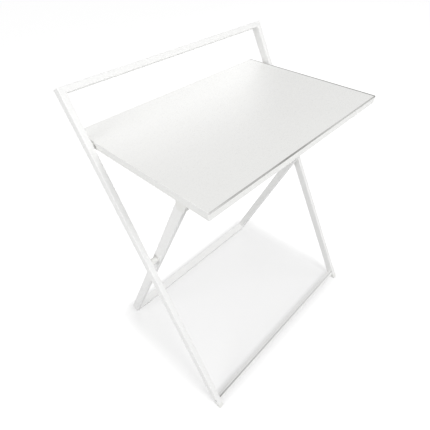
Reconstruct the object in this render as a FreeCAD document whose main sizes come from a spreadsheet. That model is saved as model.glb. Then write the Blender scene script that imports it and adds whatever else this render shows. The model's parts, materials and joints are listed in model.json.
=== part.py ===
"""Folding desk: a steel tray on a crossed pair of tube frames.

Millimetres. +Z is up, the sitter's side faces -Y, X runs along the desk's width.
The origin lies on the floor, at the middle of the ground that the desk covers.
"""
import FreeCAD, Part
import math
import os

import Sketcher
from FreeCAD import Placement, Rotation, Vector

# Driving dimensions, one row each: alias, value, what it is.
DRIVING = [
    # Desk tray
    ("desk_height", 740, "floor to the working surface"),
    ("desk_width", 640, "tray, left edge to right edge"),
    ("desk_depth", 428, "tray, front edge to rear edge"),
    ("edge_depth", 18, "height of the tray's folded edges"),
    ("sheet_thickness", 1.2, "steel sheet of the tray and its stiffeners"),
    ("desk_corner", 4, "upright corner radius of the tray"),
    ("bend_radius", 1.4, "outer radius where the sheet folds down"),
    ("rear_overhang", 64, "tray behind its pivot line"),
    # Tube stock of both frames
    ("tube_size", 15, "the tube's narrow side, in the plane of its frame"),
    ("tube_depth", 25, "the tube's broad side, front to back"),
    ("tube_wall", 1.2, "wall of the tube"),
    ("tube_corner", 2, "outer corner radius of the tube"),
    # Outer frame
    ("leg_above_desk", 120.4, "working surface to the top of the back rail, along the leg"),
    ("outer_lean", 28.44, "degrees that the outer legs lean back"),
    ("front_bar_size", 14, "side of the square front bar"),
    ("front_bar_wall", 1.2, "wall of the front bar"),
    ("front_bar_rise", 19.5, "floor point to the front bar's axis, along the leg"),
    # Inner frame
    ("leg_end_place", 75.1, "tray's front edge to the inner legs' axis, at the sheet"),
    ("foot_spread", 453, "between the floor points of the two frames' leg axes"),
    ("frame_gap", 20, "between the outer legs and the inner legs"),
    ("inner_bend", 20, "bend radius at the inner frame's floor corners, on the tube's axis"),
    ("top_bar_drop", 4, "inner legs' ends to the top bar, along the leg"),
    # Front feet and rear glides
    ("foot_collar", 12, "floor point to the end of the steel tube, along the leg"),
    ("foot_plug", 18, "length of the foot's plug inside the tube"),
    ("foot_round", 4, "rounding of the front feet's toe and heel"),
    ("plug_fit", 0.15, "gap around plugs in the tube's bore"),
    ("end_cap_head", 1.5, "head of the plug that closes an inner leg"),
    ("end_cap_plug", 14, "depth of that plug"),
    ("glide_thickness", 1.5, "glide between the rear bar's low edge and the floor"),
    ("glide_length", 26, "glide along the rear bar"),
    ("glide_width", 12, "glide's footprint across the bar"),
    ("glide_lead", 3, "glide's front edge before the bar's lowest line"),
    ("glide_height", 6, "how far the glide climbs the bar's sides"),
    ("glide_inset", 62, "inner frame's side to the middle of the glide"),
    # Leg pivots, where the frames cross
    ("leg_bolt_size", 8, "shank of the leg pivot bolt"),
    ("leg_head_size", 14, "head of the leg pivot bolt, across"),
    ("leg_head_height", 3.5, "head of the leg pivot bolt"),
    ("leg_key_size", 5, "hexagonal key hole of the leg pivot bolt, across flats"),
    ("leg_key_depth", 2, "depth of that key hole"),
    ("leg_bush_wall", 1.5, "nylon bush in the inner leg"),
    ("leg_spacer_size", 16, "spacer sleeve between the frames, across"),
    ("insert_wall", 1.5, "wall of the threaded inserts"),
    ("insert_depth", 11, "threaded inserts, inside the outer leg"),
    # Desk pivots, under the back rail
    ("pivot_gap", 4, "between the tray's edges and the outer legs"),
    ("desk_bolt_size", 6, "shank of the desk pivot bolt"),
    ("desk_head_size", 11, "head of the desk pivot bolt, across"),
    ("desk_head_height", 3, "head of the desk pivot bolt"),
    ("desk_key_size", 4, "hexagonal key hole of the desk pivot bolt, across flats"),
    ("desk_key_depth", 1.6, "depth of that key hole"),
    ("desk_bush_wall", 1.2, "nylon bush in the tray's edge"),
    ("washer_size", 14, "spacing washer on the desk pivot, across"),
    ("head_dome", 1.2, "rounding of the bolt heads"),
    ("pivot_plate_length", 52, "reinforcing plate at the desk pivot, front to back"),
    ("pivot_plate_thickness", 3, "reinforcing plate at the desk pivot"),
    ("pivot_plate_rise", 15, "reinforcing plate, top to bottom"),
    # Sockets under the tray that take the inner legs' ends
    ("socket_gap", 0.3, "between an inner leg and its socket"),
    ("socket_wall", 3, "wall of the socket in front of the leg"),
    ("socket_cheek", 2.5, "wall of the socket beside the leg"),
    ("socket_reach", 22, "how far the socket's walls come down along the leg"),
    ("socket_drop", 17, "tray's low edge to where the socket's rear edge meets the leg"),
    ("socket_inset", 1, "socket past the inner face of the leg"),
    ("socket_lug", 34, "lug in front of the socket, front to back"),
    ("socket_lug_thickness", 4, "lug in front of the socket"),
    ("stud_size", 4, "weld studs that hold the sockets"),
    ("stud_margin", 9, "lug's ends to the studs"),
    ("stud_overhang", 2.5, "stud beyond its nut"),
    ("nut_size", 7, "nuts on the studs, across flats"),
    ("nut_height", 3.2, "nuts on the studs"),
    # Stiffeners under the tray
    ("stiffener_height", 12, "hat section, top to bottom"),
    ("stiffener_web", 26, "hat section, outside width of the channel"),
    ("stiffener_flange", 10, "hat section, each flange"),
    ("stiffener_margin", 44, "stiffener's ends to the tray's side edges"),
    ("front_stiffener_place", 44, "front stiffener's axis behind the front edge"),
    ("rear_stiffener_place", 108, "rear stiffener's axis in front of the rear edge"),
    # Running clearances
    ("sweep_clearance", 2, "inner legs' ends under the sheet, at the top of their swing"),
    ("side_play", 0.2, "sideways play at every pivot"),
    ("running_fit", 0.08, "radial gap between a bolt and what turns on it"),
    ("press_fit", 0.05, "radial gap around bushes, inserts and studs that stay put"),
    ("overrun", 5, "how far cutting shapes run past what they cut"),
]

# Worked-out dimensions, as formulas on the driving ones.
DERIVED = [
    ("half_desk", "sizes.desk_width / 2"),
    ("half_tube", "sizes.tube_size / 2"),
    ("half_depth", "sizes.tube_depth / 2"),
    ("outer_inside", "half_desk + sizes.pivot_gap"),
    ("outer_outside", "outer_inside + sizes.tube_size"),
    ("inner_outside", "outer_inside - sizes.frame_gap"),
    ("inner_inside", "inner_outside - sizes.tube_size"),
    ("inner_axis", "inner_outside - half_tube"),
    ("outer_axis", "outer_outside - half_tube"),
    ("tube_inner_corner", "max(sizes.tube_corner - sizes.tube_wall; sizes.tube_wall / 4)"),
    ("plug_across", "sizes.tube_size - 2 * (sizes.tube_wall + sizes.plug_fit)"),
    ("plug_depth", "sizes.tube_depth - 2 * (sizes.tube_wall + sizes.plug_fit)"),
    # Side view: the outer legs, the desk pivot, the inner legs' lean and the crossing
    ("outer_leg_length", "sizes.desk_height / cos(sizes.outer_lean) + sizes.leg_above_desk"),
    ("rail_reach", "outer_leg_length * sin(sizes.outer_lean) + half_depth * cos(sizes.outer_lean)"
                   " - sizes.tube_corner * (sin(sizes.outer_lean) + cos(sizes.outer_lean) - 1)"),
    ("foot_reach", "half_depth / cos(sizes.outer_lean)"
                   " - sizes.foot_round * (1 / cos(sizes.outer_lean) + tan(sizes.outer_lean) - 1)"),
    ("foot_y", "(foot_reach - rail_reach) / 2"),
    ("pivot_z", "sizes.desk_height - sizes.edge_depth / 2"),
    ("pivot_y", "foot_y + pivot_z * tan(sizes.outer_lean)"),
    ("pivot_along", "pivot_z / cos(sizes.outer_lean)"),
    ("desk_rear", "pivot_y + sizes.rear_overhang"),
    ("desk_front", "desk_rear - sizes.desk_depth"),
    ("desk_under", "sizes.desk_height - sizes.sheet_thickness"),
    ("leg_end_run", "foot_y + sizes.foot_spread - desk_front - sizes.leg_end_place"),
    ("inner_lean", "atan(leg_end_run / desk_under)"),
    ("cross_z", "sizes.foot_spread / (tan(sizes.outer_lean) + tan(inner_lean))"),
    ("cross_y", "foot_y + cross_z * tan(sizes.outer_lean)"),
    ("cross_along", "cross_z / cos(sizes.outer_lean)"),
    # Inner frame, measured along its legs from the crossing
    ("leg_top", "desk_under - sizes.sweep_clearance - sizes.end_cap_head - cross_z"),
    ("core_across", "half_tube - sizes.tube_corner"),
    ("core_depth", "half_depth - sizes.tube_corner"),
    ("bar_rise", "sizes.glide_thickness + sizes.tube_corner"
                 " + core_across * cos(inner_lean) + core_depth * sin(inner_lean)"),
    ("leg_bottom", "(cross_z - bar_rise) / cos(inner_lean)"),
    ("rear_bar_y", "cross_y + leg_bottom * sin(inner_lean)"),
    ("low_line_y", "rear_bar_y - core_depth * cos(inner_lean) + core_across * sin(inner_lean)"),
    # Pivot hardware
    ("leg_bolt_r", "sizes.leg_bolt_size / 2"),
    ("leg_bush_r", "leg_bolt_r + sizes.running_fit + sizes.leg_bush_wall"),
    ("leg_spacer_r", "sizes.leg_spacer_size / 2"),
    ("leg_insert_r", "leg_bolt_r + sizes.press_fit + sizes.insert_wall"),
    ("desk_bolt_r", "sizes.desk_bolt_size / 2"),
    ("desk_bush_r", "desk_bolt_r + sizes.running_fit + sizes.desk_bush_wall"),
    ("desk_insert_r", "desk_bolt_r + sizes.press_fit + sizes.insert_wall"),
    ("insert_end", "outer_inside + sizes.insert_depth"),
    ("edge_inside", "half_desk - sizes.sheet_thickness"),
    ("plate_inside", "edge_inside - sizes.pivot_plate_thickness"),
    ("plate_top", "desk_under - pivot_z"),
    ("plate_bottom", "plate_top - sizes.pivot_plate_rise"),
    # Sockets, in side view, from the crossing
    ("ceiling", "desk_under - cross_z"),
    ("wall_in", "half_depth + sizes.socket_gap"),
    ("wall_out", "wall_in + sizes.socket_wall"),
    ("wall_top", "(ceiling + wall_out * sin(inner_lean)) / cos(inner_lean)"),
    ("wall_low", "leg_top - sizes.socket_reach"),
    ("seat", "leg_top + sizes.end_cap_head + sizes.socket_gap"),
    ("socket_front_y", "-wall_top * sin(inner_lean) - wall_out * cos(inner_lean)"),
    ("socket_toe_y", "-wall_low * sin(inner_lean) - wall_out * cos(inner_lean)"),
    ("socket_toe_z", "wall_low * cos(inner_lean) - wall_out * sin(inner_lean)"),
    ("socket_rear_z", "sizes.desk_height - sizes.edge_depth - sizes.socket_drop - cross_z"),
    ("socket_rear_y", "half_depth / cos(inner_lean) - socket_rear_z * tan(inner_lean)"),
    ("seat_y", "-seat * sin(inner_lean) - wall_in * cos(inner_lean)"),
    ("seat_z", "seat * cos(inner_lean) - wall_in * sin(inner_lean)"),
    ("seat_rise", "tan(inner_lean)"),
    ("toe_in_y", "-(wall_low - sizes.overrun) * sin(inner_lean) - wall_in * cos(inner_lean)"),
    ("toe_in_z", "(wall_low - sizes.overrun) * cos(inner_lean) - wall_in * sin(inner_lean)"),
    ("socket_low", "inner_inside - sizes.socket_inset"),
    ("cheek_inside", "inner_outside + sizes.socket_gap"),
    ("cheek_outside", "cheek_inside + sizes.socket_cheek"),
    ("socket_mid", "(socket_low + cheek_outside) / 2"),
    ("lug_front_y", "socket_front_y - sizes.socket_lug"),
    ("stud_r", "sizes.stud_size / 2"),
    ("front_stud_y", "lug_front_y + sizes.stud_margin"),
    ("rear_stud_y", "socket_front_y - sizes.stud_margin"),
    ("nut_top", "ceiling - sizes.socket_lug_thickness"),
    ("nut_bottom", "nut_top - sizes.nut_height"),
    ("stud_bottom", "nut_bottom - sizes.stud_overhang"),
    # Stiffeners
    ("half_stiffener", "half_desk - sizes.stiffener_margin"),
    ("hat_half", "sizes.stiffener_web / 2"),
    ("hat_edge", "hat_half + sizes.stiffener_flange"),
    ("hat_in", "hat_half - sizes.sheet_thickness"),
    ("hat_floor", "-sizes.stiffener_height"),
    ("front_stiffener_y", "desk_front + sizes.front_stiffener_place"),
    ("rear_stiffener_y", "desk_rear - sizes.rear_stiffener_place"),
]

LEFT, RIGHT = -1, 1
SIDES = (("left", LEFT), ("right", RIGHT))
QUARTER_TURN = math.pi / 2

doc = FreeCAD.newDocument("folding_desk")
pieces = []


def fill_sheet(name, rows, prefix):
    """A spreadsheet with one aliased row for each size and a note beside it."""
    sheet = doc.addObject("Spreadsheet::Sheet", name)
    for line, row in enumerate(rows, start=1):
        alias, content = row[0], row[1]
        sheet.set(f"A{line}", alias)
        sheet.set(f"B{line}", f"{prefix}{content}")
        sheet.setAlias(f"B{line}", alias)
        if len(row) > 2:
            sheet.set(f"C{line}", row[2])
    return sheet


sizes = fill_sheet("sizes", DRIVING, "")
derived = fill_sheet("derived", DERIVED, "=")
doc.recompute()


def value(expression):
    """The number that an expression on the two sheets comes to now."""
    return float(derived.evalExpression(expression))


def signed(side, expression):
    """An X position mirrored to the given side."""
    return f"-({expression})" if side == LEFT else expression


# Frames of reference: each is the place of a piece's own axes.
def place(piece, y="0", z="0", lean=None):
    """Put a piece at (0, y, z), turned by lean degrees about the X axis."""
    angle = value(lean) if lean else 0
    piece.Placement = Placement(Vector(0, value(y), value(z)), Rotation(Vector(1, 0, 0), angle))
    if y != "0":
        piece.setExpression("Placement.Base.y", y)
    if z != "0":
        piece.setExpression("Placement.Base.z", z)
    if lean:
        piece.setExpression("Placement.Rotation.Angle", lean)


def on_outer_frame(piece):
    """Axes along the outer legs: Z up the leg from the floor, Y towards the back."""
    place(piece, y="derived.foot_y", lean="-sizes.outer_lean")


def on_inner_frame(piece):
    """Axes along the inner legs: Z up the leg from the crossing, Y towards the back."""
    place(piece, y="derived.cross_y", z="derived.cross_z", lean="derived.inner_lean")


def at_crossing(piece):
    """Level axes at the crossing of the frames."""
    place(piece, y="derived.cross_y", z="derived.cross_z")


def at_desk_pivot(piece):
    """Level axes on the desk's pivot line."""
    place(piece, y="derived.pivot_y", z="derived.pivot_z")


# Bodies, sketches and features
def new_body(name):
    """A sub-part with a label of its own."""
    body = doc.addObject("PartDesign::Body", name)
    body.Label = name
    pieces.append(body)
    return body


def new_sketch(body, name, plane, offset="0"):
    """A sketch on one of the body's own planes, moved along that plane's normal."""
    sketch = body.newObject("Sketcher::SketchObject", f"{body.Name}_{name}")
    origin_plane = next(f for f in body.Origin.OriginFeatures if f.Role == plane)
    sketch.AttachmentSupport = [(origin_plane, "")]
    sketch.MapMode = "FlatFace"
    if offset != "0":
        sketch.setExpression("AttachmentOffset.Base.z", offset)
    return sketch


def pin_point(sketch, line, end, across, up):
    """Hold one end of a line at (across, up) from the sketch's origin."""
    label = f"p{sketch.ConstraintCount}"
    for kind, letter, axis, expression in (("DistanceX", "x", -2, across), ("DistanceY", "y", -1, up)):
        if expression == "0":
            sketch.addConstraint(Sketcher.Constraint("PointOnObject", line, end, axis))
            continue
        index = sketch.addConstraint(Sketcher.Constraint(kind, -1, 1, line, end, value(expression)))
        sketch.renameConstraint(index, label + letter)
        sketch.setExpression(f"Constraints.{label}{letter}", expression)


def outline(sketch, corners):
    """A closed outline of straight lines through corners given as pairs of expressions."""
    points = [Vector(value(across), value(up), 0) for across, up in corners]
    first = sketch.GeometryCount
    count = len(points)
    for index, point in enumerate(points):
        sketch.addGeometry(Part.LineSegment(point, points[(index + 1) % count]), False)
    for index in range(count):
        following = first + (index + 1) % count
        sketch.addConstraint(Sketcher.Constraint("Coincident", first + index, 2, following, 1))
    for index, (across, up) in enumerate(corners):
        pin_point(sketch, first + index, 1, across, up)


def rounded_square(sketch, across, up, width, height, corner):
    """A rectangle with round corners, centred on (across, up)."""
    radius = value(corner)
    half_x, half_y = value(width) / 2 - radius, value(height) / 2 - radius
    middle = Vector(value(across), value(up), 0)
    first = sketch.GeometryCount
    turns = ((-1, -1), (1, -1), (1, 1), (-1, 1))
    centres = [middle + Vector(sx * half_x, sy * half_y, 0) for sx, sy in turns]
    normals = (Vector(0, -radius, 0), Vector(radius, 0, 0), Vector(0, radius, 0), Vector(-radius, 0, 0))
    for index, centre in enumerate(centres):
        following = centres[(index + 1) % 4]
        normal = normals[index]
        sketch.addGeometry(Part.LineSegment(centre + normal, following + normal), False)
        circle = Part.Circle(following, Vector(0, 0, 1), radius)
        start = (index - 1) * QUARTER_TURN
        sketch.addGeometry(Part.ArcOfCircle(circle, start, start + QUARTER_TURN), False)
    for index in range(4):
        line, arc = first + 2 * index, first + 2 * index + 1
        following = first + (2 * index + 2) % 8
        sketch.addConstraint(Sketcher.Constraint("Tangent", line, 2, arc, 1))
        sketch.addConstraint(Sketcher.Constraint("Tangent", arc, 2, following, 1))
        kind = "Horizontal" if index % 2 == 0 else "Vertical"
        sketch.addConstraint(Sketcher.Constraint(kind, line))
        if index:
            sketch.addConstraint(Sketcher.Constraint("Equal", first + 1, arc))
    rounding = sketch.addConstraint(Sketcher.Constraint("Radius", first + 1, radius))
    label = f"corner{rounding}"
    sketch.renameConstraint(rounding, label)
    sketch.setExpression(f"Constraints.{label}", corner)
    # The centres of two opposite corner arcs fix the place and the size.
    for arc, sign in ((first + 7, "-"), (first + 3, "+")):
        pin_point(
            sketch, arc, 3,
            f"{across} {sign} (({width}) / 2 - {corner})",
            f"{up} {sign} (({height}) / 2 - {corner})",
        )


def circle(sketch, across, up, radius):
    """A circle of the given radius about (across, up)."""
    middle = Vector(value(across), value(up), 0)
    index = sketch.addGeometry(Part.Circle(middle, Vector(0, 0, 1), value(radius)), False)
    size = sketch.addConstraint(Sketcher.Constraint("Radius", index, value(radius)))
    sketch.renameConstraint(size, f"radius{size}")
    sketch.setExpression(f"Constraints.radius{size}", radius)
    if across == "0" and up == "0":
        sketch.addConstraint(Sketcher.Constraint("Coincident", index, 3, -1, 1))
    else:
        pin_point(sketch, index, 3, across, up)


def hexagon(sketch, across, up, flats):
    """A hexagon about (across, up), given by its width across flats, with a corner straight up."""
    tip = f"{flats} / 2 / cos(30)"
    shoulder = f"{flats} / 4 / cos(30)"
    flat = f"{flats} / 2"
    outline(sketch, [
        (across, f"{up} + {tip}"),
        (f"{across} - {flat}", f"{up} + {shoulder}"),
        (f"{across} - {flat}", f"{up} - {shoulder}"),
        (across, f"{up} - {tip}"),
        (f"{across} + {flat}", f"{up} - {shoulder}"),
        (f"{across} + {flat}", f"{up} + {shoulder}"),
    ])


def extrude(body, sketch, length, cut=False, both_ways=False, reverse=False):
    """Add or take away the sketch's outline, drawn out along its normal."""
    kind = "Pocket" if cut else "Pad"
    feature = body.newObject(f"PartDesign::{kind}", f"{sketch.Name}_{kind.lower()}")
    feature.Profile = sketch
    feature.setExpression("Length", length)
    feature.SideType = "Symmetric" if both_ways else "One side"
    feature.Reversed = reverse
    doc.recompute()
    return feature


def drill(body, name, plane, across, up, radius, offset="0", length=None, reverse=False):
    """A round hole from the given plane; without a length it runs through both ways."""
    sketch = new_sketch(body, name, plane, offset)
    circle(sketch, across, up, radius)
    reach = length or "3 * derived.outer_outside"
    return extrude(body, sketch, reach, cut=True, both_ways=length is None, reverse=reverse)


def turned(name, side, profile):
    """A piece turned about the X axis: its outline gives places along X and radii."""
    body = new_body(name)
    sketch = new_sketch(body, "profile", "XY_Plane")
    outline(sketch, [(signed(side, along), radius) for along, radius in profile])
    feature = body.newObject("PartDesign::Revolution", f"{name}_turn")
    feature.Profile = sketch
    feature.ReferenceAxis = (sketch, ["H_Axis"])
    feature.Angle = 360
    doc.recompute()
    return body


def round_edges(body, name, radius, wanted):
    """Fillet the edges of the body's shape so far for which wanted(edge) is true."""
    feature = body.newObject("PartDesign::Fillet", f"{body.Name}_{name}")
    last = feature.BaseFeature
    edges = [f"Edge{n}" for n, edge in enumerate(last.Shape.Edges, start=1) if wanted(edge)]
    feature.Base = (last, edges)
    feature.setExpression("Radius", radius)
    doc.recompute()
    return feature


# Outer frame: two legs and the back rail, mitred, with a bar across the feet
def tube_section(sketch, across, up, width, height, wall):
    """The hollow section of a tube."""
    rounded_square(sketch, across, up, width, height, "sizes.tube_corner")
    bore_width, bore_height = f"({width} - 2 * {wall})", f"({height} - 2 * {wall})"
    rounded_square(sketch, across, up, bore_width, bore_height, "derived.tube_inner_corner")


# The frames' tube as it is seen along a leg, and along a bar that joins two legs.
LEG_TUBE = ("sizes.tube_size", "sizes.tube_depth", "sizes.tube_wall")
BAR_TUBE = ("sizes.tube_depth", "sizes.tube_size", "sizes.tube_wall")


def mitre(body, side, keep_leg):
    """Cut the 45 degree joint of a leg and the back rail."""
    sketch = new_sketch(body, f"mitre{side + 1}", "XZ_Plane")
    out_x = signed(side, "derived.outer_outside + sizes.overrun")
    in_x = signed(side, "derived.outer_inside - sizes.overrun")
    high = "derived.outer_leg_length + sizes.overrun"
    low = "derived.outer_leg_length - sizes.tube_size - sizes.overrun"
    third = (in_x, high) if keep_leg else (out_x, low)
    outline(sketch, [(out_x, high), (in_x, low), third])
    extrude(body, sketch, "2 * sizes.tube_depth", cut=True, both_ways=True)


def outer_leg(name, side):
    """An upright of the outer frame, from its foot to the back rail."""
    body = new_body(f"outer_leg_{name}")
    section = new_sketch(body, "section", "XY_Plane", "sizes.foot_collar")
    tube_section(section, signed(side, "derived.outer_axis"), "0", *LEG_TUBE)
    extrude(body, section, "derived.outer_leg_length - sizes.foot_collar")
    mitre(body, side, keep_leg=True)
    # Both pivots thread into inserts in the leg's inner wall.
    inner_face = signed(side, "derived.outer_inside - sizes.overrun")
    depth = "sizes.tube_wall + 2 * sizes.overrun"
    for hole, along, radius in (
        ("leg_pivot", "derived.cross_along", "derived.leg_insert_r + sizes.press_fit"),
        ("desk_pivot", "derived.pivot_along", "derived.desk_insert_r + sizes.press_fit"),
    ):
        drill(body, hole, "YZ_Plane", "0", along, radius, inner_face, depth, reverse=side == RIGHT)
    on_outer_frame(body)


def back_rail():
    """The tube that joins the outer legs above and behind the desk."""
    body = new_body("back_rail")
    section = new_sketch(body, "section", "YZ_Plane")
    middle = "derived.outer_leg_length - derived.half_tube"
    tube_section(section, "0", middle, *BAR_TUBE)
    extrude(body, section, "2 * derived.outer_outside", both_ways=True)
    for _, side in SIDES:
        mitre(body, side, keep_leg=False)
    on_outer_frame(body)


def front_bar():
    """The bar across the outer frame, just above the feet."""
    body = new_body("front_cross_bar")
    section = new_sketch(body, "section", "YZ_Plane")
    tube_section(
        section, "0", "sizes.front_bar_rise",
        "sizes.front_bar_size", "sizes.front_bar_size", "sizes.front_bar_wall",
    )
    extrude(body, section, "2 * derived.outer_inside", both_ways=True)
    on_outer_frame(body)


def front_foot(name, side):
    """A moulded foot: a collar as wide as the tube, cut level with the floor, and a plug."""
    body = new_body(f"front_foot_{name}")
    middle = signed(side, "derived.outer_axis")
    collar = new_sketch(body, "collar", "YZ_Plane", middle)
    slope = "derived.half_depth * tan(sizes.outer_lean)"
    outline(collar, [
        ("-derived.half_depth", "sizes.foot_collar"),
        ("-derived.half_depth", f"-{slope}"),
        ("derived.half_depth", slope),
        ("derived.half_depth", "sizes.foot_collar"),
    ])
    extrude(body, collar, "sizes.tube_size", both_ways=True)
    half = value("derived.half_tube")
    low = value(f"(sizes.foot_collar + {slope}) / 2")
    round_edges(body, "toe_and_heel", "sizes.foot_round", lambda edge: (
        edge.BoundBox.ZMin < low and edge.BoundBox.XLength > half))
    round_edges(body, "rims", "sizes.tube_corner", lambda edge: (
        edge.BoundBox.ZMin < low and edge.BoundBox.XLength < half))
    plug = new_sketch(body, "plug", "XY_Plane", "sizes.foot_collar")
    rounded_square(
        plug, middle, "0", "derived.plug_across", "derived.plug_depth", "derived.tube_inner_corner")
    extrude(body, plug, "sizes.foot_plug")
    on_outer_frame(body)


# Inner frame: one bent tube, a top bar, caps and glides
def inner_frame_tube():
    """Both inner legs and the rear floor bar, bent from one tube."""
    body = new_body("inner_frame_tube")
    path = new_sketch(body, "path", "XZ_Plane")
    half, top, low, bend = (value(e) for e in (
        "derived.inner_axis", "derived.leg_top", "-derived.leg_bottom", "sizes.inner_bend"))
    left_turn = Part.Circle(Vector(bend - half, low + bend, 0), Vector(0, 0, 1), bend)
    right_turn = Part.Circle(Vector(half - bend, low + bend, 0), Vector(0, 0, 1), bend)
    path.addGeometry(Part.LineSegment(Vector(-half, top, 0), Vector(-half, low + bend, 0)), False)
    path.addGeometry(Part.ArcOfCircle(left_turn, 2 * QUARTER_TURN, 3 * QUARTER_TURN), False)
    path.addGeometry(Part.LineSegment(Vector(bend - half, low, 0), Vector(half - bend, low, 0)), False)
    path.addGeometry(Part.ArcOfCircle(right_turn, -QUARTER_TURN, 0), False)
    path.addGeometry(Part.LineSegment(Vector(half, low + bend, 0), Vector(half, top, 0)), False)
    for first, first_end, second, second_end in ((0, 2, 1, 1), (1, 2, 2, 1), (2, 2, 3, 1), (3, 2, 4, 1)):
        path.addConstraint(Sketcher.Constraint("Tangent", first, first_end, second, second_end))
    path.addConstraint(Sketcher.Constraint("Vertical", 0))
    path.addConstraint(Sketcher.Constraint("Equal", 1, 3))
    bent = path.addConstraint(Sketcher.Constraint("Radius", 1, bend))
    path.renameConstraint(bent, "bend")
    path.setExpression("Constraints.bend", "sizes.inner_bend")
    pin_point(path, 0, 1, "-derived.inner_axis", "derived.leg_top")
    pin_point(path, 4, 2, "derived.inner_axis", "derived.leg_top")
    level = path.addConstraint(Sketcher.Constraint("DistanceY", -1, 1, 2, 1, low))
    path.renameConstraint(level, "level")
    path.setExpression("Constraints.level", "-derived.leg_bottom")
    section = new_sketch(body, "section", "XY_Plane", "derived.leg_top")
    tube_section(section, "-derived.inner_axis", "0", *LEG_TUBE)
    doc.recompute()
    sweep = body.newObject("PartDesign::AdditivePipe", "inner_frame_tube_sweep")
    sweep.Profile = section
    sweep.Spine = (path, [f"Edge{n}" for n in range(1, 6)])
    doc.recompute()
    drill(body, "leg_pivot", "YZ_Plane", "0", "0", "derived.leg_bush_r + sizes.press_fit")
    on_inner_frame(body)


def inner_top_bar():
    """The bar that joins the inner legs just under the tray."""
    body = new_body("inner_top_bar")
    section = new_sketch(body, "section", "YZ_Plane")
    tube_section(section, "0", "derived.leg_top - sizes.top_bar_drop - derived.half_tube", *BAR_TUBE)
    extrude(body, section, "2 * derived.inner_inside", both_ways=True)
    on_inner_frame(body)


def inner_leg_cap(name, side):
    """A moulded plug that closes an inner leg and bears the tray."""
    body = new_body(f"inner_leg_cap_{name}")
    middle = signed(side, "derived.inner_axis")
    head = new_sketch(body, "head", "XY_Plane", "derived.leg_top")
    rounded_square(head, middle, "0", "sizes.tube_size", "sizes.tube_depth", "sizes.tube_corner")
    extrude(body, head, "sizes.end_cap_head")
    plug = new_sketch(body, "plug", "XY_Plane", "derived.leg_top")
    rounded_square(
        plug, middle, "0", "derived.plug_across", "derived.plug_depth", "derived.tube_inner_corner")
    extrude(body, plug, "sizes.end_cap_plug", reverse=True)
    on_inner_frame(body)


def rear_glide(name, side):
    """A glide under the rear bar: a block that is flat on the floor and cupped round the tube."""
    middle = signed(side, "derived.inner_outside - sizes.glide_inset")
    block = doc.addObject("Part::Box", f"glide_block_{name}")
    block.setExpression("Length", "sizes.glide_length")
    block.setExpression("Width", "sizes.glide_width")
    block.setExpression("Height", "sizes.glide_height")
    block.setExpression("Placement.Base.x", f"{middle} - sizes.glide_length / 2")
    block.setExpression("Placement.Base.y", "derived.low_line_y - sizes.glide_lead")
    seat = doc.addObject("Part::Box", f"glide_seat_{name}")
    seat.setExpression("Length", "sizes.glide_length + 2 * sizes.overrun")
    seat.setExpression("Width", "sizes.tube_depth + 2 * sizes.press_fit")
    seat.setExpression("Height", "sizes.tube_size + 2 * sizes.press_fit")
    doc.recompute()
    seat_edges = [
        n for n, edge in enumerate(seat.Shape.Edges, start=1)
        if edge.BoundBox.XLength > edge.BoundBox.YLength + edge.BoundBox.ZLength
    ]
    rounded = doc.addObject("Part::Fillet", f"glide_seat_round_{name}")
    rounded.Base = seat
    corner = value("sizes.tube_corner")
    rounded.Edges = [(n, corner, corner) for n in seat_edges]
    reach = "(derived.half_tube + sizes.press_fit)"
    depth = "(derived.half_depth + sizes.press_fit)"
    lean = "derived.inner_lean"
    rounded.Placement = Placement(Vector(0, 0, 0), Rotation(Vector(1, 0, 0), value(lean)))
    rounded.setExpression("Placement.Rotation.Angle", lean)
    rounded.setExpression("Placement.Base.x", f"{middle} - sizes.glide_length / 2 - sizes.overrun")
    rounded.setExpression(
        "Placement.Base.y", f"derived.rear_bar_y - {depth} * cos({lean}) + {reach} * sin({lean})")
    rounded.setExpression(
        "Placement.Base.z", f"derived.bar_rise - {depth} * sin({lean}) - {reach} * cos({lean})")
    glide = doc.addObject("Part::Cut", f"rear_glide_{name}")
    glide.Label = f"rear_glide_{name}"
    glide.Base = block
    glide.Tool = rounded
    pieces.append(glide)


# Pivots of the crossing
def leg_pivot(name, side):
    """Bolt, bush, spacer and threaded insert that join an inner leg to an outer leg."""
    head_in = "derived.inner_inside - sizes.side_play"
    head_out = f"{head_in} - sizes.leg_head_height"
    bolt = turned(f"leg_pivot_bolt_{name}", side, [
        (head_out, "0"),
        (head_out, "sizes.leg_head_size / 2"),
        (head_in, "sizes.leg_head_size / 2"),
        (head_in, "derived.leg_bolt_r"),
        ("derived.insert_end", "derived.leg_bolt_r"),
        ("derived.insert_end", "0"),
    ])
    finish_head(bolt, head_out, side, "sizes.leg_key_size", "sizes.leg_key_depth")
    bush = turned(f"leg_pivot_bush_{name}", side, [
        ("derived.inner_inside", "derived.leg_bolt_r + sizes.running_fit"),
        ("derived.inner_inside", "derived.leg_bush_r"),
        ("derived.inner_outside", "derived.leg_bush_r"),
        ("derived.inner_outside", "derived.leg_bolt_r + sizes.running_fit"),
    ])
    spacer = turned(f"leg_pivot_spacer_{name}", side, [
        ("derived.inner_outside + sizes.side_play", "derived.leg_bolt_r + sizes.press_fit"),
        ("derived.inner_outside + sizes.side_play", "derived.leg_spacer_r"),
        ("derived.outer_inside", "derived.leg_spacer_r"),
        ("derived.outer_inside", "derived.leg_bolt_r + sizes.press_fit"),
    ])
    insert = turned(f"leg_pivot_insert_{name}", side, [
        ("derived.outer_inside", "derived.leg_bolt_r + sizes.press_fit"),
        ("derived.outer_inside", "derived.leg_insert_r"),
        ("derived.insert_end", "derived.leg_insert_r"),
        ("derived.insert_end", "derived.leg_bolt_r + sizes.press_fit"),
    ])
    for piece in (bolt, bush, spacer, insert):
        at_crossing(piece)


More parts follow.
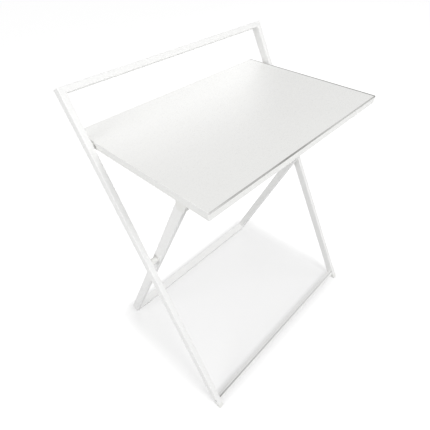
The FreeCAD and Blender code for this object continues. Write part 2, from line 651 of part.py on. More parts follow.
def finish_head(bolt, head_face, side, key_size, key_depth):
    """Round the rim of a bolt's head and sink a hexagonal key hole in it."""
    face_x = value(signed(side, head_face))
    round_edges(bolt, "dome", "sizes.head_dome", lambda edge: (
        edge.BoundBox.XLength < value("sizes.side_play")
        and abs(edge.BoundBox.XMin - face_x) < value("sizes.side_play")
    ))
    key = new_sketch(bolt, "key", "YZ_Plane", signed(side, head_face))
    hexagon(key, "0", "0", key_size)
    extrude(bolt, key, key_depth, cut=True, reverse=side == RIGHT)


# Pivots of the desk
def desk_pivot(name, side):
    """Bolt, bush, washer, insert and reinforcing plate that hang the tray between the outer legs."""
    head_in = "derived.plate_inside - sizes.side_play"
    head_out = f"{head_in} - sizes.desk_head_height"
    bolt = turned(f"desk_pivot_bolt_{name}", side, [
        (head_out, "0"),
        (head_out, "sizes.desk_head_size / 2"),
        (head_in, "sizes.desk_head_size / 2"),
        (head_in, "derived.desk_bolt_r"),
        ("derived.insert_end", "derived.desk_bolt_r"),
        ("derived.insert_end", "0"),
    ])
    finish_head(bolt, head_out, side, "sizes.desk_key_size", "sizes.desk_key_depth")
    bush = turned(f"desk_pivot_bush_{name}", side, [
        ("derived.plate_inside", "derived.desk_bolt_r + sizes.running_fit"),
        ("derived.plate_inside", "derived.desk_bush_r"),
        ("derived.half_desk", "derived.desk_bush_r"),
        ("derived.half_desk", "derived.desk_bolt_r + sizes.running_fit"),
    ])
    washer = turned(f"desk_pivot_washer_{name}", side, [
        ("derived.half_desk + sizes.side_play", "derived.desk_bolt_r + sizes.press_fit"),
        ("derived.half_desk + sizes.side_play", "sizes.washer_size / 2"),
        ("derived.outer_inside", "sizes.washer_size / 2"),
        ("derived.outer_inside", "derived.desk_bolt_r + sizes.press_fit"),
    ])
    insert = turned(f"desk_pivot_insert_{name}", side, [
        ("derived.outer_inside", "derived.desk_bolt_r + sizes.press_fit"),
        ("derived.outer_inside", "derived.desk_insert_r"),
        ("derived.insert_end", "derived.desk_insert_r"),
        ("derived.insert_end", "derived.desk_bolt_r + sizes.press_fit"),
    ])
    plate = new_body(f"pivot_plate_{name}")
    side_view = new_sketch(plate, "side_view", "YZ_Plane", signed(side, "derived.plate_inside"))
    half_plate = "sizes.pivot_plate_length / 2"
    outline(side_view, [
        (f"-{half_plate}", "derived.plate_bottom"),
        (half_plate, "derived.plate_bottom"),
        (half_plate, "derived.plate_top"),
        (f"-{half_plate}", "derived.plate_top"),
    ])
    extrude(plate, side_view, "sizes.pivot_plate_thickness", reverse=side == LEFT)
    drill(plate, "hole", "YZ_Plane", "0", "0", "derived.desk_bush_r + sizes.press_fit")
    for piece in (bolt, bush, washer, insert, plate):
        at_desk_pivot(piece)


# The tray and what is fixed under it
def desk_tray():
    """The working surface: sheet with its four edges folded down."""
    body = new_body("desk_tray")
    middle = "derived.desk_rear - sizes.desk_depth / 2"
    plan = new_sketch(body, "plan", "XY_Plane", "sizes.desk_height - sizes.edge_depth")
    rounded_square(plan, "0", middle, "sizes.desk_width", "sizes.desk_depth", "sizes.desk_corner")
    extrude(body, plan, "sizes.edge_depth")
    top = value("sizes.desk_height - sizes.bend_radius")
    round_edges(body, "fold", "sizes.bend_radius", lambda edge: edge.BoundBox.ZMin > top)
    hollow = new_sketch(body, "hollow", "XY_Plane", "sizes.desk_height - sizes.edge_depth")
    rounded_square(
        hollow, "0", middle,
        "(sizes.desk_width - 2 * sizes.sheet_thickness)",
        "(sizes.desk_depth - 2 * sizes.sheet_thickness)",
        "(sizes.desk_corner - sizes.sheet_thickness)",
    )
    extrude(body, hollow, "sizes.edge_depth - sizes.sheet_thickness", cut=True, reverse=True)
    drill(body, "desk_pivot", "YZ_Plane", "derived.pivot_y", "derived.pivot_z",
          "derived.desk_bush_r + sizes.press_fit")


def stiffener(name, across):
    """A hat section welded under the sheet, from side to side."""
    body = new_body(name)
    section = new_sketch(body, "section", "YZ_Plane")
    hat = [
        ("derived.hat_edge", "0"),
        ("derived.hat_edge", "-sizes.sheet_thickness"),
        ("derived.hat_half", "-sizes.sheet_thickness"),
        ("derived.hat_half", "derived.hat_floor"),
        ("-derived.hat_half", "derived.hat_floor"),
        ("-derived.hat_half", "-sizes.sheet_thickness"),
        ("-derived.hat_edge", "-sizes.sheet_thickness"),
        ("-derived.hat_edge", "0"),
        ("-derived.hat_in", "0"),
        ("-derived.hat_in", "derived.hat_floor + sizes.sheet_thickness"),
        ("derived.hat_in", "derived.hat_floor + sizes.sheet_thickness"),
        ("derived.hat_in", "0"),
    ]
    outline(section, hat)
    extrude(body, section, "2 * derived.half_stiffener", both_ways=True)
    place(body, y=across, z="derived.desk_under")


def leg_socket(name, side):
    """A moulded hook under the tray: a seat over the leg, a wall before it, a cheek beside it."""
    body = new_body(f"leg_socket_{name}")
    low = signed(side, "derived.socket_low")
    outward = side == LEFT
    whole = new_sketch(body, "side_view", "YZ_Plane", low)
    outline(whole, [
        ("derived.socket_front_y", "derived.ceiling"),
        ("derived.socket_toe_y", "derived.socket_toe_z"),
        ("derived.socket_rear_y", "derived.socket_toe_z"),
        ("derived.socket_rear_y", "derived.ceiling"),
    ])
    extrude(body, whole, "derived.cheek_outside - derived.socket_low", reverse=outward)
    lug = new_sketch(body, "lug", "YZ_Plane", low)
    outline(lug, [
        ("derived.lug_front_y", "derived.ceiling"),
        ("derived.lug_front_y", "derived.nut_top"),
        ("derived.socket_rear_y", "derived.nut_top"),
        ("derived.socket_rear_y", "derived.ceiling"),
    ])
    extrude(body, lug, "derived.cheek_outside - derived.socket_low", reverse=outward)
    passage = new_sketch(body, "passage", "YZ_Plane", signed(side, "derived.socket_low - sizes.overrun"))
    far_y = "derived.socket_rear_y + sizes.overrun"
    outline(passage, [
        ("derived.seat_y", "derived.seat_z"),
        ("derived.toe_in_y", "derived.toe_in_z"),
        (far_y, "derived.toe_in_z"),
        (far_y, f"derived.seat_z + ({far_y} - derived.seat_y) * derived.seat_rise"),
    ])
    reach = "derived.cheek_inside - derived.socket_low + sizes.overrun"
    extrude(body, passage, reach, cut=True, reverse=side == RIGHT)
    for hole, across in (("front", "derived.front_stud_y"), ("rear", "derived.rear_stud_y")):
        sketch = new_sketch(body, f"{hole}_stud", "XY_Plane", "derived.ceiling + sizes.overrun")
        circle(sketch, signed(side, "derived.socket_mid"), across, "derived.stud_r + sizes.press_fit")
        extrude(body, sketch, "sizes.socket_lug_thickness + 2 * sizes.overrun", cut=True)
    at_crossing(body)


def stud_and_nut(name, side, which, across):
    """A stud welded under the sheet and the nut that holds a socket's lug on it."""
    middle = signed(side, "derived.socket_mid")
    stud = new_body(f"socket_stud_{which}_{name}")
    end = new_sketch(stud, "end", "XY_Plane", "derived.stud_bottom")
    circle(end, middle, across, "derived.stud_r")
    extrude(stud, end, "derived.ceiling - derived.stud_bottom")
    nut = new_body(f"socket_nut_{which}_{name}")
    flat = new_sketch(nut, "flat", "XY_Plane", "derived.nut_bottom")
    hexagon(flat, middle, across, "sizes.nut_size")
    circle(flat, middle, across, "derived.stud_r + sizes.press_fit")
    extrude(nut, flat, "sizes.nut_height")
    for piece in (stud, nut):
        at_crossing(piece)


def check(piece):
    """Stop if a piece failed to build or isn't one sound solid."""
    shape = piece.Shape
    if shape.isNull() or not shape.isValid() or len(shape.Solids) != 1:
        raise RuntimeError(f"{piece.Label}: bad shape, {len(shape.Solids)} solids")


for side_name, side_sign in SIDES:
    outer_leg(side_name, side_sign)
    front_foot(side_name, side_sign)
    inner_leg_cap(side_name, side_sign)
    rear_glide(side_name, side_sign)
    leg_pivot(side_name, side_sign)
    desk_pivot(side_name, side_sign)
    leg_socket(side_name, side_sign)
    stud_and_nut(side_name, side_sign, "front", "derived.front_stud_y")
    stud_and_nut(side_name, side_sign, "rear", "derived.rear_stud_y")
back_rail()
front_bar()
inner_frame_tube()
inner_top_bar()
desk_tray()
stiffener("front_stiffener", "derived.front_stiffener_y")
stiffener("rear_stiffener", "derived.rear_stiffener_y")
doc.recompute()

for item in doc.Objects:
    if "Invalid" in item.State or "Error" in item.State:
        raise RuntimeError(f"{item.Label}: {item.State}")
for piece in pieces:
    check(piece)

os.makedirs("parts", exist_ok=True)
for piece in pieces:
    piece.Shape.exportStep(f"parts/{piece.Label}.step")
print(f"{len(pieces)} pieces written")
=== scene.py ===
"""Folding desk: finishes, welds and fine hardware on its steel frames, in a pale studio.

Metres. +Z is up, the sitter's side faces -Y, X runs along the desk's width.
"""
import json
import math

import bpy
from bpy.props import FloatProperty, FloatVectorProperty, PointerProperty
from mathutils import Color, Matrix, Vector


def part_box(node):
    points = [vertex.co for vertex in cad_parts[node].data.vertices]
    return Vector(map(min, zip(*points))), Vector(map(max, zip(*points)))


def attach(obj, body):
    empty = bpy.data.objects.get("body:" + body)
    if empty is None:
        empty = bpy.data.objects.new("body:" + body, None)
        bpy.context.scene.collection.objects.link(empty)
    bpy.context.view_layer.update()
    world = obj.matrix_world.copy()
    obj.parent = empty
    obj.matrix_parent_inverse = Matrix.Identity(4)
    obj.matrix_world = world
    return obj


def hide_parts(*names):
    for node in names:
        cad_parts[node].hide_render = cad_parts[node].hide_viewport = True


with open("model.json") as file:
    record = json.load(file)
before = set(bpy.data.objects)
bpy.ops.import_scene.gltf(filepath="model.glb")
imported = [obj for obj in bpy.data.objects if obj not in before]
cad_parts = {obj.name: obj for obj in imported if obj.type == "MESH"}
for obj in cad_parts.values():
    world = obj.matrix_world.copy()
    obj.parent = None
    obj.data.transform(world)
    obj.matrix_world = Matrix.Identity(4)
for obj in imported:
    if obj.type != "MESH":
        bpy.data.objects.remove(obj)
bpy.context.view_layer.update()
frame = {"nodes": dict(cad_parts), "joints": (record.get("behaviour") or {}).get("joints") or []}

bl_info = {
    "name": "Folding Desk Studio",
    "version": (1, 0, 0),
    "blender": (4, 5, 0),
    "location": "View3D > Sidebar > Desk",
    "description": "Finishes, welds, fine hardware and studio of a white steel folding desk",
    "category": "Object",
}

MM = 0.001
ACROSS = Vector((1, 0, 0))
UP = Vector((0, 0, 1))
BACK = Vector((0, 1, 0))
SIDES = (("left", -1), ("right", 1))

# The two frames' leg directions, from the pivots and the bar between the inner legs.
pivots = {joint["name"]: Vector(joint["pos_m"]) for joint in frame["joints"]}


def middle(node):
    """The middle of a frame node's box."""
    low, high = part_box(node)
    return (low + high) / 2


CROSSING = pivots["leg_fold"]
OUTER_UP = (pivots["desk_lift"] - CROSSING).normalized()
OUTER_BACK = OUTER_UP.cross(ACROSS)
INNER_UP = (middle("inner_top_bar") - CROSSING).normalized()
INNER_BACK = INNER_UP.cross(ACROSS)

OUTER_TUBES = ("outer_leg_left", "outer_leg_right", "back_rail", "front_cross_bar")
INNER_TUBES = ("inner_frame_tube", "inner_top_bar")
TRAY_SHEET = ("desk_tray", "front_stiffener", "rear_stiffener", "pivot_plate_left", "pivot_plate_right")
MOULDINGS = (
    "front_foot", "rear_glide", "inner_leg_cap", "leg_socket", "leg_pivot_spacer", "desk_pivot_washer")
BUSHES = ("leg_pivot_bush", "desk_pivot_bush")
COATED_BOLTS = ("leg_pivot_bolt",)
PLATED_FIXINGS = ("leg_pivot_insert", "desk_pivot_bolt", "desk_pivot_insert")


def linear(hex_colour):
    """The scene-linear colour of an sRGB hex value such as #F0F0EE."""
    channels = [int(hex_colour[first:first + 2], 16) / 255 for first in (1, 3, 5)]
    return tuple(Color(channels).from_srgb_to_scene_linear())


def colour_property(name, description, hex_colour):
    """A colour that a user can change, given as its sRGB hex value."""
    return FloatVectorProperty(
        name=name, description=description, subtype="COLOR", size=3, min=0, max=1,
        default=linear(hex_colour))


def length_property(name, description, millimetres):
    """A length that a user can change, given in millimetres."""
    return FloatProperty(
        name=name, description=description, unit="LENGTH", min=0, default=millimetres * MM)


class DeskColours(bpy.types.PropertyGroup):
    """Colours of the desk's finishes."""

    tube_coat: colour_property("Tube coat", "White of the coated tube", "#F9F9F8")
    sheet_coat: colour_property("Sheet coat", "White of the coated sheet", "#F2F2F0")
    # Painted shade: the dark colour mixed in along the tray's front and right folds and the front bar's
    # front top corner, standing in for the shade and dark reflection on those edges.
    painted_edge_shade: colour_property("Thin coat", "Coat where it draws thin over a folded edge", "#6E6E6A")
    nylon: colour_property(
        "Moulded nylon", "White of the feet, caps, sockets, spacers and washers", "#F6F6F3")
    natural_nylon: colour_property("Natural nylon", "Ivory of the bushes", "#E4E0D2")
    zinc: colour_property("Zinc plate", "Desk bolts, nuts, studs and inserts", "#C9CDD1")
    floor: colour_property("Floor", "Paper sweep under the desk", "#CCCCCC")


class DeskSizes(bpy.types.PropertyGroup):
    """Sizes of what is added to the frames."""

    tube_corner: length_property("Tube corner", "Corner radius of the tube", 2)
    weld_leg: length_property("Weld leg", "Leg of the fillet welds", 2.6)
    weld_pitch: length_property("Weld ripple", "Distance between a weld's ripples", 2.4)
    seam_width: length_property("Seam width", "Width of the dressed seam on the mitres", 2.2)
    seam_height: length_property("Seam height", "What the dressed seam leaves standing", 0.12)
    spot_size: length_property("Spot weld", "Diameter of the stiffeners' spot welds", 5)
    spot_pitch: length_property("Spot pitch", "Distance between spot welds", 46)
    spot_height: length_property("Spot rim", "Height of a spot weld's pressed rim", 0.25)
    thread_pitch: length_property("Thread pitch", "Pitch of the studs' thread", 0.7)
    thread_depth: length_property("Thread depth", "Depth of the studs' thread", 0.3)
    flange: length_property("Flange", "Flange of the stiffeners", 10)
    flange_sheet: length_property("Flange sheet", "Sheet that the stiffeners are folded from", 1.2)
    # The two widths below are of the painted shade lines beside the tray's folds and along the front bar's
    # corner.
    edge_line: length_property("Edge line", "Width of the thin coat beside a fold", 3.6)
    bar_line: length_property("Bar line", "Width of the thin coat along the front bar's corner", 3.8)


class StudioSettings(bpy.types.PropertyGroup):
    """Camera, lights and floor."""

    camera_place: FloatVectorProperty(
        name="Camera place", description="Where the camera stands", subtype="TRANSLATION",
        unit="LENGTH", default=(-0.6492, -0.5262, 1.1562))
    camera_heading: FloatProperty(
        name="Heading", description="Camera's turn from straight back towards the right",
        subtype="ANGLE", default=math.radians(46.232))
    camera_pitch: FloatProperty(
        name="Pitch", description="Camera's tilt from level", subtype="ANGLE",
        default=math.radians(-41.938))
    camera_roll: FloatProperty(
        name="Roll", description="Camera's turn about its own line of sight", subtype="ANGLE",
        default=math.radians(-0.860))
    camera_lens: FloatProperty(
        name="Lens", description="Focal length in millimetres on a 36 mm sensor", min=1,
        default=30.526)
    floor_size: FloatProperty(
        name="Floor size", description="Side of the paper sweep", unit="LENGTH", default=14)
    world_level: FloatProperty(
        name="World level", description="Light that comes from all round", min=0, default=0.46)
    key_power: FloatProperty(
        name="Key light", description="Soft light high in front of the desk, in watts", min=0,
        default=28)
    left_power: FloatProperty(
        name="Left light", description="Soft light on the desk's left, in watts", min=0, default=17)
    front_power: FloatProperty(
        name="Front light", description="Low soft light in front of the desk, in watts", min=0,
        default=5)
    right_power: FloatProperty(
        name="Right light", description="Weak light at the right front, in watts", min=0, default=5.5)
    band_power: FloatProperty(
        name="Band light", description="Long light behind the desk that the tray mirrors, in watts",
        min=0, default=10)
    # The sweep glows less under the desk than away from it. This paints a shadow over the desk's
    # footprint, on top of the paper's real shade.
    painted_shadow_lift: FloatProperty(
        name="Near lift", description="How much the sweep is brightened under the desk",
        min=0, max=1, default=0.38)
    far_lift: FloatProperty(
        name="Far lift", description="How much the sweep is brightened away from the desk",
        min=0, max=1, default=0.7)


# How dark the painted shade is along three edges: shares of the edge's length, each with a level,
# where 0 is no painted shade. The tray's front fold and the front bar's front top corner run from
# left to right, and the tray's right fold runs from front to rear.
FRONT_FOLD_SHARES = (
    (0, 0.3), (0.1, 0.6), (0.28, 0.65), (0.36, 0.9), (0.5, 0.7), (0.72, 0.45), (0.97, 0.6), (1, 1))
RIGHT_FOLD_SHARES = ((0, 1), (0.1, 0.9), (0.5, 0.8), (1, 0.5))
FRONT_BAR_SHARES = ((0, 0.65), (0.5, 0.45), (1, 0.3))


# Materials
def add_node(tree, kind, inputs=None, **settings):
    """Add a node: settings are its own values, inputs map a socket to a value or to an output."""
    node = tree.nodes.new(kind)
    for name, setting in settings.items():
        setattr(node, name, setting)
    for socket, source in (inputs or {}).items():
        if isinstance(source, bpy.types.NodeSocket):
            tree.links.new(source, node.inputs[socket])
        else:
            node.inputs[socket].default_value = source
    return node


def new_material(name):
    """An empty node material and its output node."""
    material = bpy.data.materials.new(name)
    material.use_nodes = True
    material.node_tree.nodes.clear()
    output = add_node(material.node_tree, "ShaderNodeOutputMaterial")
    return material, material.node_tree, output


def per_cell(width):
    """The texture scale at which one cell is width metres across."""
    return 1 / width


def opaque(colour):
    """A colour with its alpha."""
    return (*colour, 1)


def shade(colour, factor):
    """A colour made darker by a factor."""
    return tuple(channel * factor for channel in colour)


def stops(tree, value, low, high, levels):
    """A level that follows a value: levels lists shares of the way from low to high with a level each."""
    share = add_node(tree, "ShaderNodeMapRange", {"Value": value, "From Min": low, "From Max": high})
    ramp = add_node(tree, "ShaderNodeValToRGB", {"Fac": share.outputs["Result"]})
    elements = ramp.color_ramp.elements
    elements[0].position = 0
    elements[1].position = 1
    for place, level in levels[1:-1]:
        elements.new(place)
    for element, (place, level) in zip(elements, levels):
        element.position = place
        element.color = opaque((level, level, level))
    return ramp.outputs["Color"]


def off_plane(tree, place, point, facing):
    """How far a place is from the plane through point with the given normal."""
    along = add_node(tree, "ShaderNodeVectorMath", {0: place, 1: facing}, operation="DOT_PRODUCT")
    past = add_node(tree, "ShaderNodeMath", {
        0: along.outputs["Value"], 1: point.dot(facing)}, operation="SUBTRACT")
    distance = add_node(tree, "ShaderNodeMath", {0: past.outputs["Value"]}, operation="ABSOLUTE")
    return distance.outputs["Value"]


def edge_line(tree, first, second, width):
    """1 within half a width of both distances' zero, and 0 from the whole width on."""
    off_line = add_node(tree, "ShaderNodeMath", {0: first, 1: second}, operation="MAXIMUM")
    line = add_node(tree, "ShaderNodeMapRange", {
        "Value": off_line.outputs["Value"], "From Min": width / 2, "From Max": width,
        "To Min": 1, "To Max": 0})
    return line.outputs["Result"]


def bar_edge_shade(tree, place):
    """Painted shade: a dark line along the front cross bar's front top corner, standing in for its shade
    and dark reflection.
    """
    low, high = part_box("front_cross_bar")
    half_bar = half_across("front_cross_bar", OUTER_UP)
    corner = middle("front_cross_bar") + half_bar * (OUTER_UP - OUTER_BACK)
    line = edge_line(
        tree, off_plane(tree, place, corner, OUTER_UP), off_plane(tree, place, corner, OUTER_BACK),
        bpy.context.scene.desk_sizes.bar_line)
    axes = add_node(tree, "ShaderNodeSeparateXYZ", {"Vector": place})
    level = stops(tree, axes.outputs["X"], low.x, high.x, FRONT_BAR_SHARES)
    # The painted shade line, darkest towards the bar's left end.
    thin = add_node(tree, "ShaderNodeMath", {0: line, 1: level}, operation="MULTIPLY")
    return thin.outputs["Value"]


def satin_powder_coat(colours):
    """Satin polyester powder coat, baked on steel tube.

    It looks even and slightly soft: a wide, gentle sheen, broken up by the shallow orange peel
    that the melted powder leaves. Along the front bar's front top corner a greyer line is painted
    shade, standing in for the shade and dark reflection there.
    """
    material, tree, output = new_material("satin_powder_coat")
    # Orange peel is about 1.5 mm from crest to crest; it is drawn at 4 mm so that it shows.
    peel_width = 4 * MM
    peel_height = 0.04 * MM
    cloud_width = 70 * MM
    cloud_shade = 0.965
    place = add_node(tree, "ShaderNodeTexCoord").outputs["Object"]
    peel = add_node(tree, "ShaderNodeTexNoise", {
        "Vector": place, "Scale": per_cell(peel_width), "Detail": 2, "Roughness": 0.45})
    clouds = add_node(tree, "ShaderNodeTexNoise", {
        "Vector": place, "Scale": per_cell(cloud_width), "Detail": 3})
    tint = add_node(tree, "ShaderNodeMix", {
        "Factor": clouds.outputs["Fac"],
        "A": opaque(shade(colours.tube_coat, cloud_shade)),
        "B": opaque(colours.tube_coat)}, data_type="RGBA")
    # Painted shade mixed into the coat's colour along the front bar's front top corner.
    edge_shaded = add_node(tree, "ShaderNodeMix", {
        "Factor": bar_edge_shade(tree, place), "A": tint.outputs["Result"],
        "B": opaque(colours.painted_edge_shade)}, data_type="RGBA")
    gloss = add_node(tree, "ShaderNodeMapRange", {
        "Value": peel.outputs["Fac"], "To Min": 0.36, "To Max": 0.48})
    relief = add_node(tree, "ShaderNodeBump", {
        "Height": peel.outputs["Fac"], "Strength": 0.35, "Distance": peel_height})
    surface = add_node(tree, "ShaderNodeBsdfPrincipled", {
        "Base Color": edge_shaded.outputs["Result"], "Roughness": gloss.outputs["Result"],
        "Normal": relief.outputs["Normal"], "IOR": 1.5})
    tree.links.new(surface.outputs["BSDF"], output.inputs["Surface"])
    return material


def fold_edge_shade(tree, place):
    """1 where the painted shade is darkest beside the tray's front and right top folds, 0 away from them.
    """
    low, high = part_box("desk_tray")
    width = bpy.context.scene.desk_sizes.edge_line
    # The painted shade line reaches further over the sheet at the right fold than at the front fold.
    front_spread, right_spread = 1, 2.2
    axes = add_node(tree, "ShaderNodeSeparateXYZ", {"Vector": place})
    below_top = add_node(tree, "ShaderNodeMath", {0: high.z, 1: axes.outputs["Z"]}, operation="SUBTRACT")
    from_front = add_node(tree, "ShaderNodeMath", {0: axes.outputs["Y"], 1: low.y}, operation="SUBTRACT")
    from_right = add_node(tree, "ShaderNodeMath", {0: high.x, 1: axes.outputs["X"]}, operation="SUBTRACT")
    lines = []
    for away, spread, level in (
        (from_front, front_spread, stops(tree, axes.outputs["X"], low.x, high.x, FRONT_FOLD_SHARES)),
        (from_right, right_spread, stops(tree, axes.outputs["Y"], low.y, high.y, RIGHT_FOLD_SHARES)),
    ):
        narrowed = add_node(tree, "ShaderNodeMath", {
            0: away.outputs["Value"], 1: spread}, operation="DIVIDE")
        line = edge_line(tree, narrowed.outputs["Value"], below_top.outputs["Value"], width)
        lines.append(add_node(tree, "ShaderNodeMath", {0: line, 1: level}, operation="MULTIPLY"))
    both = add_node(tree, "ShaderNodeMath", {
        0: lines[0].outputs["Value"], 1: lines[1].outputs["Value"]}, operation="MAXIMUM")
    return both.outputs["Value"]


def textured_powder_coat(colours):
    """Fine-textured powder coat, baked on the folded sheet.

    It looks smooth from a step away and like very fine sandpaper up close, with a broad soft
    sheen that gathers into a pale band. A grey line of painted shade follows the front and right
    folds, standing in for their shade and dark reflection.
    """
    material, tree, output = new_material("textured_powder_coat")
    # The grain is about 0.4 mm; it is drawn at 1.6 mm so that it shows.
    grain_width = 1.6 * MM
    grain_height = 0.05 * MM
    cloud_width = 110 * MM
    cloud_shade = 0.975
    place = add_node(tree, "ShaderNodeTexCoord").outputs["Object"]
    grain = add_node(tree, "ShaderNodeTexNoise", {
        "Vector": place, "Scale": per_cell(grain_width), "Detail": 3, "Roughness": 0.6})
    clouds = add_node(tree, "ShaderNodeTexNoise", {
        "Vector": place, "Scale": per_cell(cloud_width), "Detail": 2})
    tint = add_node(tree, "ShaderNodeMix", {
        "Factor": clouds.outputs["Fac"],
        "A": opaque(shade(colours.sheet_coat, cloud_shade)),
        "B": opaque(colours.sheet_coat)}, data_type="RGBA")
    # Painted shade mixed into the sheet's colour beside the tray's front and right folds.
    edge_shaded = add_node(tree, "ShaderNodeMix", {
        "Factor": fold_edge_shade(tree, place), "A": tint.outputs["Result"],
        "B": opaque(colours.painted_edge_shade)}, data_type="RGBA")
    gloss = add_node(tree, "ShaderNodeMapRange", {
        "Value": grain.outputs["Fac"], "To Min": 0.24, "To Max": 0.32})
    relief = add_node(tree, "ShaderNodeBump", {
        "Height": grain.outputs["Fac"], "Strength": 0.4, "Distance": grain_height})
    surface = add_node(tree, "ShaderNodeBsdfPrincipled", {
        "Base Color": edge_shaded.outputs["Result"], "Roughness": gloss.outputs["Result"],
        "Normal": relief.outputs["Normal"], "IOR": 1.5})
    tree.links.new(surface.outputs["BSDF"], output.inputs["Surface"])
    return material


def moulded_nylon(colours):
    """White glass-filled nylon, injection moulded in a spark-eroded tool.

    It looks softer and duller than the coat, with a fine even grain and faint flow marks.
    """
    material, tree, output = new_material("moulded_white_nylon")
    # The tool's grain is about 0.2 mm; it is drawn at 0.8 mm so that it shows.
    grain_width = 0.8 * MM
    grain_height = 0.04 * MM
    flow_width = 9 * MM
    flow_shade = 0.94
    place = add_node(tree, "ShaderNodeTexCoord").outputs["Object"]
    grain = add_node(tree, "ShaderNodeTexNoise", {
        "Vector": place, "Scale": per_cell(grain_width), "Detail": 2})
    flow = add_node(tree, "ShaderNodeTexNoise", {
        "Vector": place, "Scale": per_cell(flow_width), "Detail": 1, "Distortion": 1.2})
    tint = add_node(tree, "ShaderNodeMix", {
        "Factor": flow.outputs["Fac"],
        "A": opaque(shade(colours.nylon, flow_shade)),
        "B": opaque(colours.nylon)}, data_type="RGBA")
    gloss = add_node(tree, "ShaderNodeMapRange", {
        "Value": flow.outputs["Fac"], "To Min": 0.48, "To Max": 0.62})
    relief = add_node(tree, "ShaderNodeBump", {
        "Height": grain.outputs["Fac"], "Strength": 0.3, "Distance": grain_height})
    surface = add_node(tree, "ShaderNodeBsdfPrincipled", {
        "Base Color": tint.outputs["Result"], "Roughness": gloss.outputs["Result"],
        "Normal": relief.outputs["Normal"], "IOR": 1.53})
    tree.links.new(surface.outputs["BSDF"], output.inputs["Surface"])
    return material


def turned_nylon(colours):
    """Natural nylon, turned on a lathe.

    It looks like ivory wax: warm, a little see-through, with fine rings round its axis.
    """
    material, tree, output = new_material("turned_natural_nylon")
    # The turning marks are about 0.1 mm apart; they are drawn at 0.5 mm so that they show.
    ring_pitch = 0.5 * MM
    ring_height = 0.02 * MM
    ring_scale = per_cell(ring_pitch) / (2 * math.pi)
    mottle_width = 5 * MM
    mottle_shade = 0.93
    place = add_node(tree, "ShaderNodeTexCoord").outputs["Object"]
    rings = add_node(tree, "ShaderNodeTexWave", {
        "Vector": place, "Scale": ring_scale, "Distortion": 0.3}, bands_direction="X")
    mottle = add_node(tree, "ShaderNodeTexNoise", {
        "Vector": place, "Scale": per_cell(mottle_width), "Detail": 2})
    tint = add_node(tree, "ShaderNodeMix", {
        "Factor": mottle.outputs["Fac"],
        "A": opaque(shade(colours.natural_nylon, mottle_shade)),
        "B": opaque(colours.natural_nylon)}, data_type="RGBA")
    relief = add_node(tree, "ShaderNodeBump", {
        "Height": rings.outputs["Fac"], "Strength": 0.3, "Distance": ring_height})
    surface = add_node(tree, "ShaderNodeBsdfPrincipled", {
        "Base Color": tint.outputs["Result"], "Roughness": 0.42,
        "Normal": relief.outputs["Normal"], "IOR": 1.53,
        "Subsurface Weight": 0.15, "Subsurface Scale": 1 * MM})
    tree.links.new(surface.outputs["BSDF"], output.inputs["Surface"])
    return material


def zinc_plate(colours):
    """Bright zinc, plated on turned steel.

    It looks silvery and a little cold, with faint rings from the lathe and a cloudy, patchy shine.
    """
    material, tree, output = new_material("bright_zinc_plate")
    # The lathe's marks are about 0.1 mm apart; they are drawn at 0.6 mm so that they show.
    ring_pitch = 0.6 * MM
    ring_height = 0.01 * MM
    ring_scale = per_cell(ring_pitch) / (2 * math.pi)
    patch_width = 3 * MM
    patch_shade = 0.82
    place = add_node(tree, "ShaderNodeTexCoord").outputs["Object"]
    rings = add_node(tree, "ShaderNodeTexWave", {
        "Vector": place, "Scale": ring_scale, "Distortion": 0.5}, bands_direction="X")
    patches = add_node(tree, "ShaderNodeTexNoise", {
        "Vector": place, "Scale": per_cell(patch_width), "Detail": 4, "Distortion": 0.4})
    tint = add_node(tree, "ShaderNodeMix", {
        "Factor": patches.outputs["Fac"],
        "A": opaque(shade(colours.zinc, patch_shade)),
        "B": opaque(colours.zinc)}, data_type="RGBA")
    gloss = add_node(tree, "ShaderNodeMapRange", {
        "Value": patches.outputs["Fac"], "To Min": 0.2, "To Max": 0.38})
    relief = add_node(tree, "ShaderNodeBump", {
        "Height": rings.outputs["Fac"], "Strength": 0.25, "Distance": ring_height})
    surface = add_node(tree, "ShaderNodeBsdfPrincipled", {
        "Base Color": tint.outputs["Result"], "Metallic": 1, "Roughness": gloss.outputs["Result"],
        "Normal": relief.outputs["Normal"]})
    tree.links.new(surface.outputs["BSDF"], output.inputs["Surface"])
    return material


def seen_directly(tree):
    """1 where a ray comes from the camera, a mirror or glass, and 0 for all other light."""
    path = add_node(tree, "ShaderNodeLightPath")
    either = add_node(tree, "ShaderNodeMath", {
        0: path.outputs["Is Camera Ray"], 1: path.outputs["Is Glossy Ray"]}, operation="MAXIMUM")
    every = add_node(tree, "ShaderNodeMath", {
        0: either.outputs["Value"], 1: path.outputs["Is Transmission Ray"]}, operation="MAXIMUM")
    return every.outputs["Value"]


